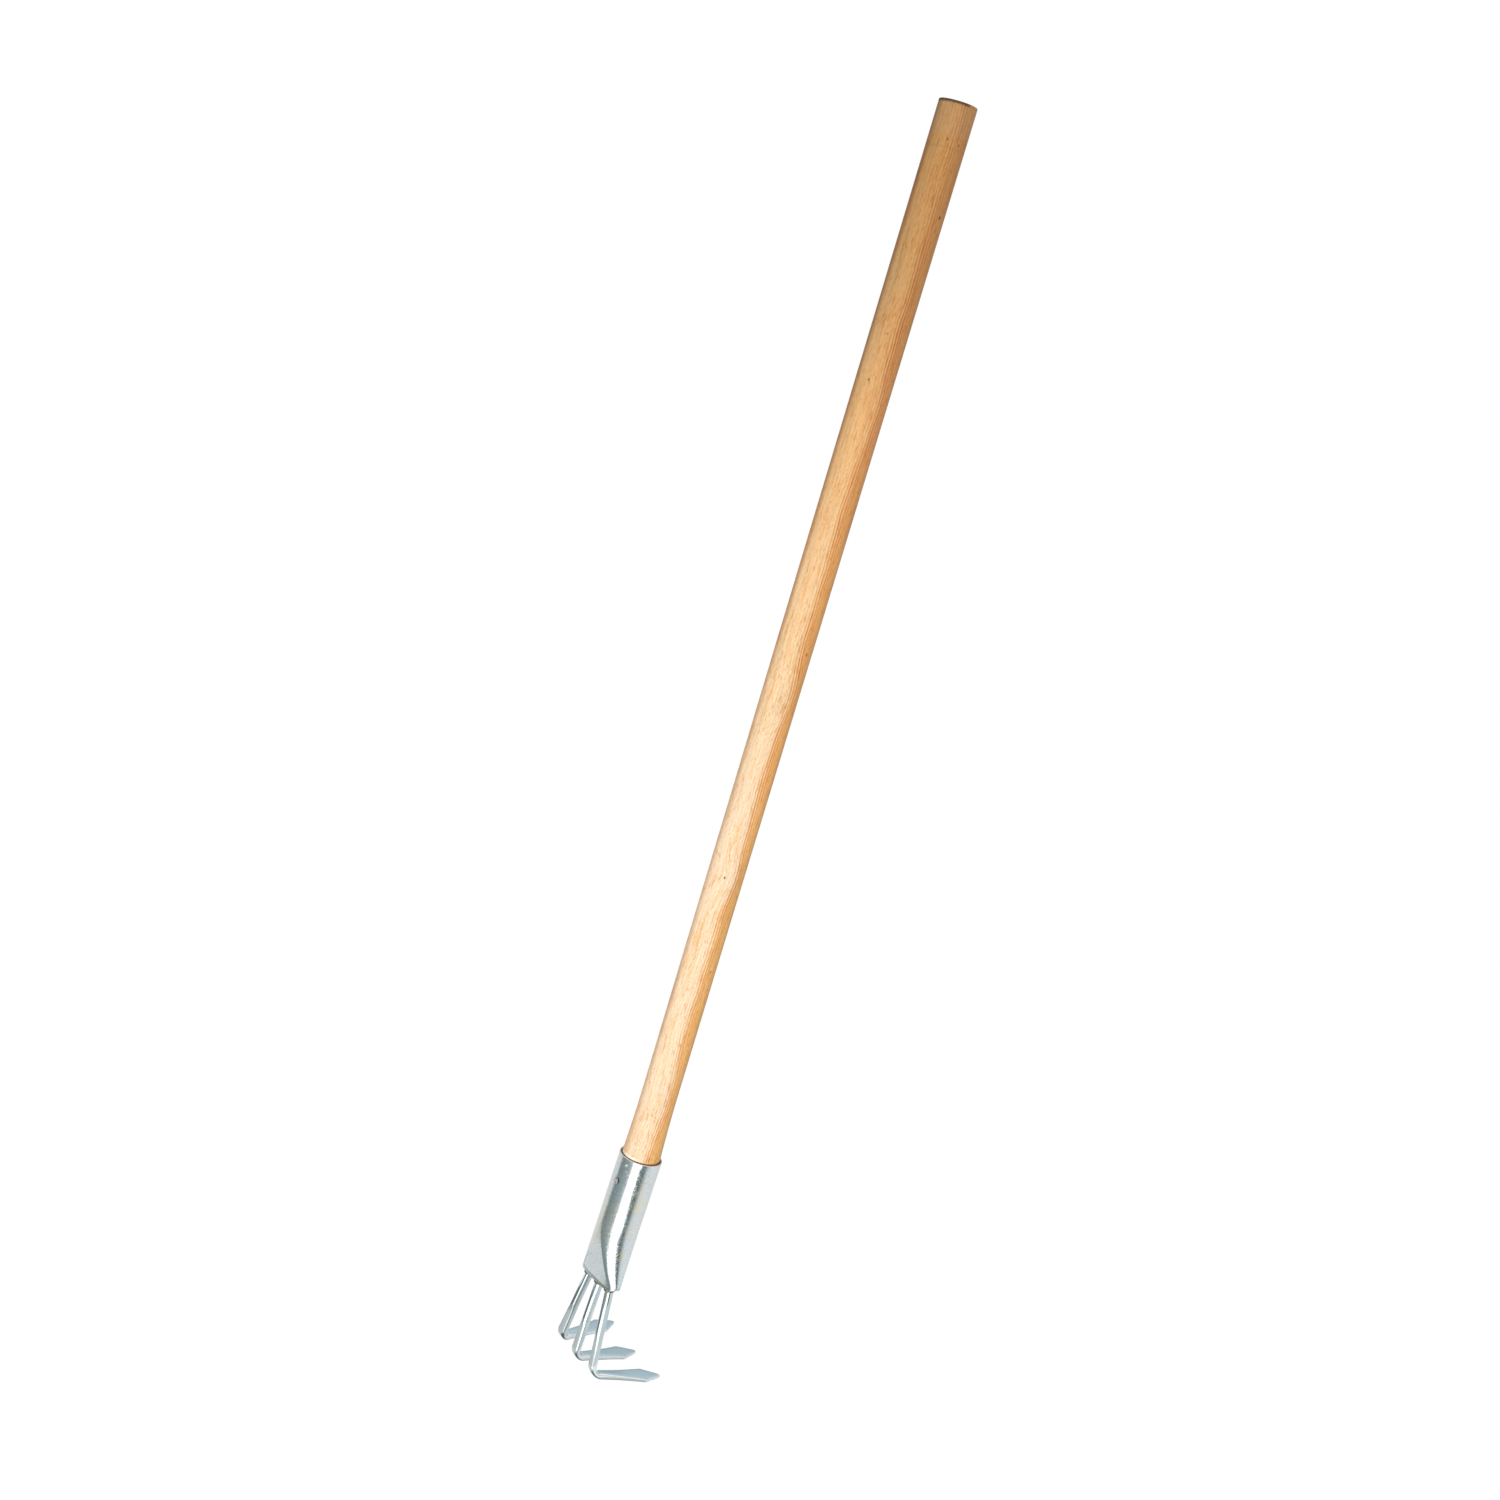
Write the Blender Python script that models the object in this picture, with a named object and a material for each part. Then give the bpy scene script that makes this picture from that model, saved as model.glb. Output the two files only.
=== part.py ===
"""Clam rake: a wooden handle nailed into a steel tube, whose flattened end holds three forged tines.

The rake is modelled from the centre of the socket's mouth. The handle runs up +Z, the head hangs below
it and leans by HEAD_LEAN, the tines stand in a row along Y, and their blades point along +X. In the end
the whole rake is lifted, so that the box round it stands centred on the origin.
"""

import math

import bmesh
import bpy
from mathutils import Vector

MM = 0.001

# Clearance that pieces in contact keep
TOUCH = 0.3 * MM

# Handle: a straight dowel, its lower end whittled to fit the narrowing socket
HANDLE_DIAMETER = 28.575 * MM
HANDLE_LENGTH = 914.4 * MM
HANDLE_EDGE = 0.6 * MM
HANDLE_END_TO_TINES = 4.8 * MM
HANDLE_SEGMENTS = 56
WHITTLED_RINGS = 10

# Head: the handle stands a little askew in the loose socket
HEAD_LEAN = math.radians(1.8)

# Socket: a round tube, pressed together at the bottom onto the ends of the tines
SOCKET_LENGTH = 112.3 * MM
SOCKET_WALL = 1.2 * MM
SOCKET_SLACK = 1.96 * MM
PRESS_START = 56.0 * MM
PRESS_EASE = 30.0 * MM
PRESS_LAND = 3.0 * MM
LIP_RISE = 4.0 * MM
LIP_SLANT = 1.4 * MM
SOCKET_SEGMENTS = 60
SOCKET_PRESS_RINGS = 12

# Tines: round rods, hammered wide from above the bend to the blade
ROD_DIAMETER = 7.1 * MM
ROD_INSERT = 26.0 * MM
ROD_TOP_GAP = 3.8 * MM
TINE_SPLAY = math.radians(9.2)
TINE_DROP = 69.0 * MM
LEG_LEAN = math.radians(-0.6)
BEND_RADIUS = 7.6 * MM
BEND_THINNING = 0.25
BEND_STEPS = 8
BLADE_BODY = 46.7 * MM
BLADE_TIP = 15.5 * MM
BLADE_FAN = math.radians(11.2)
BLADE_LIFT = math.radians(0.8)
BLADE_LEVEL_FROM = 0.72
TINE_SEGMENTS = 20

# Each tine: the side of the row it stands on, and how its forging strays in drop, lean and lift
TINES = {
    "left": (1, -0.8 * MM, math.radians(0.4), math.radians(0.1)),
    "middle": (0, 0.7 * MM, math.radians(-0.5), math.radians(0.4)),
    "right": (-1, 0.0 * MM, 0.0, math.radians(-0.6)),
}

# Hammered part of the leg, by its distance above the bend: (distance, width, thickness, squareness)
LEG_FORM = (
    (34.0 * MM, ROD_DIAMETER, ROD_DIAMETER, 2.0),
    (29.0 * MM, 7.6 * MM, 6.5 * MM, 2.4),
    (20.0 * MM, 8.1 * MM, 6.1 * MM, 3.0),
    (9.0 * MM, 8.7 * MM, 5.9 * MM, 3.4),
)

# Blade from the bend to its widest place, by its share of BLADE_BODY: (share, width, thickness, squareness)
BLADE_FORM = (
    (0.20, 8.8 * MM, 5.7 * MM, 3.6),
    (0.45, 10.4 * MM, 4.8 * MM, 4.0),
    (0.72, 12.6 * MM, 4.1 * MM, 4.6),
    (0.90, 14.9 * MM, 3.7 * MM, 5.0),
    (1.00, 16.8 * MM, 3.4 * MM, 5.0),
)

# Spear tip beyond the widest place, by its share of BLADE_TIP: (share, width, thickness, squareness)
TIP_FORM = (
    (0.35, 11.9 * MM, 3.1 * MM, 4.6),
    (0.80, 5.7 * MM, 2.6 * MM, 3.6),
    (0.95, 3.6 * MM, 2.2 * MM, 3.0),
    (1.00, 1.5 * MM, 1.4 * MM, 2.4),
)

# Weld: a bead round each rod, under the lip of the socket
WELD_REACH = 0.9 * MM
WELD_HEIGHT = 1.7 * MM
WELD_SEGMENTS = 20

# Nail: through the back of the socket into the wood
NAIL_DEPTH = 21.2 * MM
NAIL_TURN = math.radians(5.6)
NAIL_LENGTH = 22.0 * MM
NAIL_DIAMETER = 2.2 * MM
NAIL_HEAD_DIAMETER = 4.4 * MM
NAIL_HEAD_HEIGHT = 1.0 * MM
NAIL_POINT = 4.0 * MM
NAIL_SEGMENTS = 16

# Worked out from the sizes above
HANDLE_RADIUS = HANDLE_DIAMETER / 2
ROD_RADIUS = ROD_DIAMETER / 2
SOCKET_BORE = HANDLE_RADIUS + SOCKET_SLACK
SOCKET_RADIUS = SOCKET_BORE + SOCKET_WALL
LIP_HALF_THICKNESS = ROD_RADIUS + TOUCH + SOCKET_WALL
HANDLE_SEAT = SOCKET_LENGTH - ROD_INSERT - HANDLE_END_TO_TINES
ROD_PITCH = ROD_DIAMETER + ROD_TOP_GAP + ROD_INSERT * math.tan(TINE_SPLAY)
WELD_BORE = ROD_RADIUS / math.cos(TINE_SPLAY) + TOUCH


def clear_scene():
    for obj in list(bpy.data.objects):
        bpy.data.objects.remove(obj, do_unlink=True)


def make_material(name, colour, roughness, metallic):
    material = bpy.data.materials.new(name)
    material.use_nodes = True
    shader = material.node_tree.nodes["Principled BSDF"]
    shader.inputs["Base Color"].default_value = (*colour, 1.0)
    shader.inputs["Roughness"].default_value = roughness
    shader.inputs["Metallic"].default_value = metallic
    material.diffuse_color = (*colour, 1.0)
    return material


def make_empty(name, parent=None):
    empty = bpy.data.objects.new(name, None)
    bpy.context.scene.collection.objects.link(empty)
    empty.parent = parent
    return empty


def loft(name, rings, material, parent, looped=False):
    """One closed body through equal rings. The end rings are capped, or joined when it is looped."""
    shape = bmesh.new()
    loops = [[shape.verts.new(point) for point in ring] for ring in rings]
    following = loops[1:] + loops[:1] if looped else loops[1:]
    for loop, next_loop in zip(loops, following):
        for i in range(len(loop)):
            j = (i + 1) % len(loop)
            shape.faces.new((loop[i], loop[j], next_loop[j], next_loop[i]))
    if not looped:
        shape.faces.new(loops[0])
        shape.faces.new(loops[-1])
    bmesh.ops.recalc_face_normals(shape, faces=shape.faces)
    mesh = bpy.data.meshes.new(name)
    shape.to_mesh(mesh)
    shape.free()
    mesh.materials.append(material)
    mesh.shade_smooth()
    mesh.set_sharp_from_angle(angle=math.radians(35))
    obj = bpy.data.objects.new(name, mesh)
    bpy.context.scene.collection.objects.link(obj)
    obj.parent = parent
    return obj


def circle(radius, z, count, centre=(0.0, 0.0)):
    """Points of a level circle at height z."""
    turns = [math.tau * i / count for i in range(count)]
    return [Vector((centre[0] + radius * math.cos(a), centre[1] + radius * math.sin(a), z)) for a in turns]


def oblong(half_thickness, half_straight, z, count):
    """Evenly spaced points of a level outline with two straight sides along Y and two round ends."""
    arc = math.pi * half_thickness
    around = 4 * half_straight + 2 * arc
    points = []
    for i in range(count):
        along = around * i / count
        turned = along > half_straight + arc / 2 + half_straight + arc / 2
        sign = -1 if turned else 1
        along -= 2 * half_straight + arc if turned else 0
        if along <= half_straight:
            x, y = half_thickness, along
        elif along < half_straight + arc:
            angle = (along - half_straight) / half_thickness
            x, y = half_thickness * math.cos(angle), half_straight + half_thickness * math.sin(angle)
        else:
            x, y = -half_thickness, 2 * half_straight + arc - along
        points.append(Vector((sign * x, sign * y, z)))
    return points


def pressed_half_thickness(depth):
    """Outer half thickness of the socket at a depth: round, then pressed ever thinner, then even."""
    def eased(distance):
        return math.hypot(max(distance, 0.0), PRESS_EASE) - PRESS_EASE
    share = min(eased(depth - PRESS_START) / eased(SOCKET_LENGTH - PRESS_LAND - PRESS_START), 1.0)
    return SOCKET_RADIUS - (SOCKET_RADIUS - LIP_HALF_THICKNESS) * share


def half_straight(half_thickness):
    """Half the straight side that pressing makes, with the length round the wall unchanged."""
    return math.pi / 2 * (SOCKET_RADIUS - half_thickness)


def lip_rise(y):
    """How far the pressing draws the lip up: most at the folds, and more on one side than on the other."""
    share = y / (LIP_HALF_THICKNESS + half_straight(LIP_HALF_THICKNESS))
    return LIP_RISE * share ** 4 - LIP_SLANT * share


def socket_ring(half, straight, depth):
    towards_lip = max(depth - PRESS_START, 0.0) / (SOCKET_LENGTH - PRESS_START)
    ring = oblong(half, straight, -depth, SOCKET_SEGMENTS)
    for point in ring:
        point.z += lip_rise(point.y) * towards_lip
    return ring


def make_socket(material, head):
    step = (SOCKET_LENGTH - PRESS_LAND - PRESS_START) / SOCKET_PRESS_RINGS
    depths = [0.0, PRESS_START / 2]
    depths += [PRESS_START + step * i for i in range(SOCKET_PRESS_RINGS + 1)]
    depths.append(SOCKET_LENGTH)
    outside, inside = [], []
    for depth in depths:
        half = pressed_half_thickness(depth)
        straight = half_straight(half)
        outside.append(socket_ring(half, straight, depth))
        inside.append(socket_ring(half - SOCKET_WALL, straight, depth))
    return loft("socket", outside + inside[::-1], material, head, looped=True)


def handle_radius(depth):
    """Radius of the handle at a depth, whittled where the leaning, narrowing bore needs it."""
    offset = max(depth, 0.0) * math.tan(HEAD_LEAN)
    room = pressed_half_thickness(depth) - SOCKET_WALL - offset - TOUCH
    return min(HANDLE_RADIUS, room)


def make_handle(material, rake):
    top = HANDLE_LENGTH - HANDLE_SEAT
    depths = [HANDLE_SEAT * (1 - i / WHITTLED_RINGS) for i in range(1, WHITTLED_RINGS + 1)]
    rings = [circle(handle_radius(HANDLE_SEAT) - HANDLE_EDGE, -HANDLE_SEAT, HANDLE_SEGMENTS)]
    for depth in [HANDLE_SEAT - HANDLE_EDGE] + depths:
        rings.append(circle(handle_radius(depth), -depth, HANDLE_SEGMENTS))
    rings.append(circle(HANDLE_RADIUS, top - HANDLE_EDGE, HANDLE_SEGMENTS))
    rings.append(circle(HANDLE_RADIUS - HANDLE_EDGE, top, HANDLE_SEGMENTS))
    return loft("handle", rings, material, rake)


def tine_directions(side, more_lean, more_lift):
    """Unit vectors down the leg, along the blade, and across both."""
    leg = Vector((math.tan(LEG_LEAN + more_lean), side * math.tan(TINE_SPLAY), -1.0)).normalized()
    ahead = Vector((math.cos(side * BLADE_FAN), math.sin(side * BLADE_FAN), 0.0))
    ahead = (ahead - leg * ahead.dot(leg)).normalized()
    lift = BLADE_LIFT + more_lift
    blade = ahead * math.cos(lift) - leg * math.sin(lift)
    return leg, blade, leg.cross(blade).normalized()


def leg_stations(lip, corner, leg, across):
    """Rings of the leg as centre, direction of the rod, direction of its width, and form."""
    top = lip - leg * (ROD_INSERT / -leg.z)
    stations = [(top, leg, across, (ROD_DIAMETER, ROD_DIAMETER, 2.0))]
    return stations + [(corner - leg * above, leg, across, form) for above, *form in LEG_FORM]


def bend_stations(corner, leg, across, blade):
    """Rings round the bend, which the hammer has thinned in its middle."""
    turn = leg.angle(blade)
    sideways = (blade - leg * blade.dot(leg)).normalized()
    centre = corner + (sideways - leg * math.tan(turn / 2)) * BEND_RADIUS
    stations = []
    for i in range(BEND_STEPS + 1):
        share = i / BEND_STEPS
        cosine, sine = math.cos(turn * share), math.sin(turn * share)
        direction = leg * cosine + sideways * sine
        spoke = leg * sine - sideways * cosine
        width, thickness, squareness = [
            above + (below - above) * share for above, below in zip(LEG_FORM[-1][1:], BLADE_FORM[0][1:])
        ]
        thickness *= 1 - BEND_THINNING * math.sin(math.pi * share)
        stations.append((centre + spoke * BEND_RADIUS, direction, across, (width, thickness, squareness)))
    return stations


def blade_stations(corner, blade, across):
    """Rings of the blade, which is turned level after the bend."""
    level = blade.cross(Vector((0.0, 0.0, 1.0))).normalized()
    distances = [(BLADE_BODY * share, form) for share, *form in BLADE_FORM]
    distances += [(BLADE_BODY + BLADE_TIP * share, form) for share, *form in TIP_FORM]
    stations = []
    for distance, form in distances:
        levelled = min(distance / (BLADE_BODY * BLADE_LEVEL_FROM), 1.0)
        stations.append((corner + blade * distance, blade, across.lerp(level, levelled).normalized(), form))
    return stations


def tine_ring(centre, direction, across, form):
    """A ring square to the rod: a circle at squareness 2, nearer a rectangle at more."""
    width, thickness, squareness = form
    outward = across.cross(direction)
    ring = []
    for i in range(TINE_SEGMENTS):
        angle = math.tau * (i + 0.5) / TINE_SEGMENTS
        cosine, sine = math.cos(angle), math.sin(angle)
        u = math.copysign(abs(cosine) ** (2 / squareness), cosine) * width / 2
        v = math.copysign(abs(sine) ** (2 / squareness), sine) * thickness / 2
        ring.append(centre + across * u + outward * v)
    return ring


def make_tine(name, side, more_drop, more_lean, more_lift, material, head):
    leg, blade, across = tine_directions(side, more_lean, more_lift)
    lip = Vector((0.0, side * ROD_PITCH, -SOCKET_LENGTH))
    corner = lip + leg * ((TINE_DROP + more_drop) / -leg.z)
    stations = leg_stations(lip, corner, leg, across)
    stations += bend_stations(corner, leg, across, blade)
    stations += blade_stations(corner, blade, across)
    return loft(f"tine_{name}", [tine_ring(*station) for station in stations], material, head)


def make_weld(name, side, material, head):
    """A fillet of weld metal round the rod that follows the lip and the lean of the rod."""
    outline = (
        (WELD_BORE, 0.0),
        (WELD_BORE + WELD_REACH, 0.0),
        (WELD_BORE + WELD_REACH * 0.95, WELD_HEIGHT * 0.35),
        (WELD_BORE + WELD_REACH * 0.55, WELD_HEIGHT * 0.75),
        (WELD_BORE + WELD_REACH * 0.15, WELD_HEIGHT),
        (WELD_BORE, WELD_HEIGHT),
    )
    rings = []
    for radius, below in outline:
        ring = circle(radius, 0.0, WELD_SEGMENTS, (0.0, side * ROD_PITCH))
        for point in ring:
            under_lip = TOUCH + below - lip_rise(point.y)
            point.z = -SOCKET_LENGTH - under_lip
            point.y += side * under_lip * math.tan(TINE_SPLAY)
        rings.append(ring)
    return loft(f"weld_{name}", rings, material, head, looped=True)


def make_nail_axis(head):
    """An empty on the tube's axis at the nail's depth, with -Z out through the back of the socket."""
    axis = make_empty("nail_axis", head)
    axis.location = (0.0, 0.0, -NAIL_DEPTH)
    axis.rotation_euler = (0.0, math.pi / 2, NAIL_TURN)
    return axis


def make_nail(material, axis):
    seat = -(SOCKET_RADIUS + TOUCH)
    tip = seat + NAIL_LENGTH
    shank = NAIL_DIAMETER / 2
    head = NAIL_HEAD_DIAMETER / 2
    outline = (
        (head * 0.55, seat - NAIL_HEAD_HEIGHT),
        (head * 0.88, seat - NAIL_HEAD_HEIGHT * 0.75),
        (head, seat - NAIL_HEAD_HEIGHT * 0.3),
        (head, seat),
        (shank, seat),
        (shank, tip - NAIL_POINT),
        (shank * 0.15, tip),
    )
    rings = [circle(radius, height, NAIL_SEGMENTS) for radius, height in outline]
    return loft("nail", rings, material, axis)


def make_nail_hole(material, axis):
    radius = NAIL_DIAMETER / 2 + TOUCH
    outside = -(SOCKET_RADIUS + TOUCH + NAIL_HEAD_HEIGHT)
    inside = NAIL_LENGTH - SOCKET_RADIUS
    rings = [circle(radius, height, NAIL_SEGMENTS) for height in (outside, inside)]
    cutter = loft("nail_hole", rings, material, axis)
    cutter.hide_render = True
    cutter.display_type = "WIRE"
    return cutter


def cut_hole(obj, cutter):
    cut = obj.modifiers.new("nail_hole", "BOOLEAN")
    cut.operation = "DIFFERENCE"
    cut.solver = "EXACT"
    cut.object = cutter


def stand_on_origin(rake, pieces):
    """Lifts the rake, so that the box round it stands on Z = 0 and is centred on the Z axis."""
    bpy.context.view_layer.update()
    points = [piece.matrix_world @ vertex.co for piece in pieces for vertex in piece.data.vertices]
    low = Vector([min(point[i] for point in points) for i in range(3)])
    high = Vector([max(point[i] for point in points) for i in range(3)])
    rake.location = (-(low.x + high.x) / 2, -(low.y + high.y) / 2, -low.z)


def main():
    clear_scene()
    wood = make_material("wood", (0.62, 0.37, 0.17), 0.5, 0.0)
    zinc = make_material("zinc_plated_steel", (0.62, 0.66, 0.68), 0.3, 1.0)
    weld_metal = make_material("weld_metal", (0.42, 0.43, 0.43), 0.45, 1.0)
    nail_steel = make_material("nail_steel", (0.45, 0.38, 0.35), 0.5, 1.0)
    rake = make_empty("rake")
    head = make_empty("head", rake)
    head.rotation_euler = (0.0, HEAD_LEAN, 0.0)
    nail_axis = make_nail_axis(head)
    handle = make_handle(wood, rake)
    socket = make_socket(zinc, head)
    pieces = [handle, socket, make_nail(nail_steel, nail_axis)]
    for name, (side, *strays) in TINES.items():
        pieces.append(make_tine(name, side, *strays, zinc, head))
        pieces.append(make_weld(name, side, weld_metal, head))
    hole = make_nail_hole(nail_steel, nail_axis)
    cut_hole(handle, hole)
    cut_hole(socket, hole)
    stand_on_origin(rake, pieces)


main()
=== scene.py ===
"""Looks of the clam rake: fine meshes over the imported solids, procedural materials, a studio and a camera.

Shapes are built as the solids are. The handle stands along +Z from the centre of the socket's mouth. The
head (socket, tines, welds and nail) is built from the same point with its own Z along the tube, and is then
turned by HEAD_LEAN.
"""

import math

import bmesh
import bpy
from mathutils import Matrix, Vector, noise

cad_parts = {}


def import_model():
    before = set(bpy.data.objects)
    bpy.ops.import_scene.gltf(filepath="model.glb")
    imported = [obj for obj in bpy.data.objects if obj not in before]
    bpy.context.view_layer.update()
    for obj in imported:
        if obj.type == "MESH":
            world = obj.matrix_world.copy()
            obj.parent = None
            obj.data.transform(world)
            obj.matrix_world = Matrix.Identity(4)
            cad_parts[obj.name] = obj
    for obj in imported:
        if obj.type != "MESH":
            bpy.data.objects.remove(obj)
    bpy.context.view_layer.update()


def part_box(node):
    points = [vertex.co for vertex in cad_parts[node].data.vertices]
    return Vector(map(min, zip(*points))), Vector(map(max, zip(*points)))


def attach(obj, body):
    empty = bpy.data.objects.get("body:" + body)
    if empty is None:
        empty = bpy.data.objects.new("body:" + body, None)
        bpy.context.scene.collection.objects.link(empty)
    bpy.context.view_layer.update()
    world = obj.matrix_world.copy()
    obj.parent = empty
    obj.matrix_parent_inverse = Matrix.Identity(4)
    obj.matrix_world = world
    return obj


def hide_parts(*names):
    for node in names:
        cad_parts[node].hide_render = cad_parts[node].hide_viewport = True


MM = 0.001

# Handle
HANDLE_RADIUS = 14.2875 * MM
HANDLE_LENGTH = 914.4 * MM
HANDLE_SEAT = 81.5 * MM
HANDLE_EDGE = 0.6 * MM
HANDLE_SWELL = 1.3 * MM
HANDLE_SWELL_ABOVE = 60 * MM
HANDLE_SWELL_BELOW = 30 * MM
HEAD_LEAN = math.radians(1.8)
TOUCH = 0.3 * MM

# Socket
SOCKET_LENGTH = 112.3 * MM
SOCKET_WALL = 1.2 * MM
SOCKET_SLACK = 1.96 * MM
SOCKET_RADIUS = HANDLE_RADIUS + SOCKET_SLACK + SOCKET_WALL
PRESS_START = 56.0 * MM
PRESS_EASE = 30.0 * MM
PRESS_LAND = 3.0 * MM
LIP_RISE = 4.0 * MM
LIP_SLANT = 1.4 * MM
RIM_ROUND = 0.15 * MM

# Tines
ROD_DIAMETER = 7.1 * MM
ROD_INSERT = 26.0 * MM
ROD_TOP_GAP = 3.8 * MM
TINE_SPLAY = math.radians(9.2)
ROD_PITCH = ROD_DIAMETER + ROD_TOP_GAP + ROD_INSERT * math.tan(TINE_SPLAY)
LIP_HALF_THICKNESS = ROD_DIAMETER / 2 + TOUCH + SOCKET_WALL
TINE_DROP = 69.0 * MM
LEG_LEAN = math.radians(-0.6)
BEND_RADIUS = 7.6 * MM
BEND_THINNING = 0.25
BLADE_BODY = 46.7 * MM
BLADE_TIP = 15.5 * MM
BLADE_FAN = math.radians(11.2)
BLADE_LIFT = math.radians(0.8)
BLADE_LEVEL_FROM = 0.72

# Each tine: the side of the row it stands on, and how its forging strays in drop, lean and lift
TINES = {
    "left": (1, -0.8 * MM, math.radians(0.4), math.radians(0.1)),
    "middle": (0, 0.7 * MM, math.radians(-0.5), math.radians(0.4)),
    "right": (-1, 0.0 * MM, 0.0, math.radians(-0.6)),
}

# Length above the corner of the bend that is hammered, and how far along a tine its form is averaged
HAMMERED_LENGTH = 34.0 * MM
FORM_SPREAD = 1.1 * MM

# Section of a tine by its distance from the corner of the bend, up the leg as negative:
# distance, width, thickness, squareness
TINE_FORM = (
    (-120.0 * MM, ROD_DIAMETER, ROD_DIAMETER, 2.0),
    (-HAMMERED_LENGTH, ROD_DIAMETER, ROD_DIAMETER, 2.0),
    (-29.0 * MM, 7.6 * MM, 6.5 * MM, 2.4),
    (-20.0 * MM, 8.1 * MM, 6.1 * MM, 2.7),
    (-9.0 * MM, 8.7 * MM, 5.9 * MM, 2.9),
    (9.3 * MM, 8.8 * MM, 5.7 * MM, 3.4),
    (21.0 * MM, 10.4 * MM, 4.8 * MM, 4.0),
    (33.6 * MM, 12.6 * MM, 4.1 * MM, 4.6),
    (42.0 * MM, 14.9 * MM, 3.7 * MM, 5.0),
    (BLADE_BODY, 16.8 * MM, 3.4 * MM, 5.0),
    (52.1 * MM, 11.9 * MM, 3.1 * MM, 4.6),
    (59.1 * MM, 5.7 * MM, 2.6 * MM, 3.6),
    (61.4 * MM, 3.6 * MM, 2.2 * MM, 3.0),
    (BLADE_BODY + BLADE_TIP, 1.5 * MM, 1.4 * MM, 2.4),
)

# Weld, with how uneven its reach and its height are, as shares of them, and how close its lumps stand
WELD_REACH = 0.9 * MM
WELD_HEIGHT = 1.7 * MM
WELD_BORE = ROD_DIAMETER / 2 / math.cos(TINE_SPLAY) + TOUCH
WELD_UNEVEN_REACH = 0.5
WELD_UNEVEN_HEIGHT = 0.225
WELD_LUMPS = 1.9

# Nail
NAIL_DEPTH = 21.2 * MM
NAIL_TURN = math.radians(5.6)
NAIL_LENGTH = 22.0 * MM
NAIL_RADIUS = 1.1 * MM
NAIL_HEAD_RADIUS = 2.6 * MM
NAIL_HEAD_HEIGHT = 1.0 * MM
NAIL_NECK = 0.4 * MM
NAIL_POINT = 4.0 * MM

# Dents of the socket, the tines and the nail's head: size of their swells, and how deep they go
SOCKET_DENTS = (17 * MM, 0.20 * MM)
TINE_DENTS = (13 * MM, 0.16 * MM)
NAIL_DENTS = (1.3 * MM, 0.24 * MM)

# Share of the dents on metal that isn't pressed or hammered, and the length over which those of the socket
# set in
LEAST_DENTS = 0.15
SOCKET_DENTS_EASE = 30 * MM

# Camera, from the centre of the socket's mouth
CAMERA_PLACE = Vector((-0.90969, -1.09659, 0.62924))
CAMERA_RIGHT = Vector((0.77724, -0.56255, 0.28185))
CAMERA_FORWARD = Vector((0.62083, 0.75849, -0.19813))
CAMERA_LENS = 45.85
CAMERA_SENSOR = 36.0
CAMERA_SHIFT = -0.0004
CAMERA_NEAR = 0.05


# Meshes

def build_mesh(name, rings, looped=False, sharp=40):
    """A closed mesh through rings of equal length, capped at its ends or joined into a loop."""
    shape = bmesh.new()
    loops = [[shape.verts.new(point) for point in ring] for ring in rings]
    following = loops[1:] + loops[:1] if looped else loops[1:]
    for loop, next_loop in zip(loops, following):
        for i in range(len(loop)):
            j = (i + 1) % len(loop)
            shape.faces.new((loop[i], loop[j], next_loop[j], next_loop[i]))
    if not looped:
        shape.faces.new(loops[0])
        shape.faces.new(loops[-1])
    bmesh.ops.recalc_face_normals(shape, faces=shape.faces)
    mesh = bpy.data.meshes.new(name)
    shape.to_mesh(mesh)
    shape.free()
    mesh.shade_smooth()
    mesh.set_sharp_from_angle(angle=math.radians(sharp))
    obj = bpy.data.objects.new(name, mesh)
    bpy.context.scene.collection.objects.link(obj)
    return obj


def dent(obj, size, depth, seed, share):
    """Presses points in along their normals by a share of a depth, in smooth swells of the given size."""
    offset = Vector((seed * 3.7, seed * 1.3, seed * 5.1))
    normals = [vertex.normal.copy() for vertex in obj.data.vertices]
    for vertex, normal in zip(obj.data.vertices, normals):
        strength = depth * share(vertex.co)
        vertex.co += normal * (noise.noise(vertex.co / size + offset) - 1) / 2 * strength


def circle(radius, z, count):
    turns = [math.tau * i / count for i in range(count)]
    return [Vector((radius * math.cos(a), radius * math.sin(a), z)) for a in turns]


def handle_mesh():
    segments = 144
    seated_steps = 20
    steps = 320
    arris_steps = 5
    top = HANDLE_LENGTH - HANDLE_SEAT
    rings = [circle(whittled_radius(HANDLE_SEAT) - HANDLE_EDGE, -HANDLE_SEAT, segments)]
    rings.append(circle(whittled_radius(HANDLE_SEAT), HANDLE_EDGE - HANDLE_SEAT, segments))
    for i in range(1, seated_steps):
        depth = HANDLE_SEAT * (1 - i / seated_steps)
        swell = HANDLE_SWELL * max(1 - depth / HANDLE_SWELL_BELOW, 0) ** 2
        rings.append(circle(whittled_radius(depth) + swell, -depth, segments))
    for i in range(steps + 1):
        z = (top - HANDLE_EDGE) * i / steps
        swell = HANDLE_SWELL * max(1 - z / HANDLE_SWELL_ABOVE, 0) ** 2
        rings.append(circle(HANDLE_RADIUS + swell, z, segments))
    for i in range(1, arris_steps + 1):
        angle = math.pi / 2 * i / arris_steps
        radius = HANDLE_RADIUS - HANDLE_EDGE * (1 - math.cos(angle))
        rings.append(circle(radius, top - HANDLE_EDGE * (1 - math.sin(angle)), segments))
    for share in (0.6, 0.1):
        rings.append(circle(HANDLE_RADIUS * share, top, segments))
    return build_mesh("wooden_handle", rings, sharp=80)


def whittled_radius(depth):
    offset = max(depth, 0.0) * math.tan(HEAD_LEAN)
    return min(HANDLE_RADIUS, pressed_half_thickness(depth) - SOCKET_WALL - offset - TOUCH)


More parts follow.
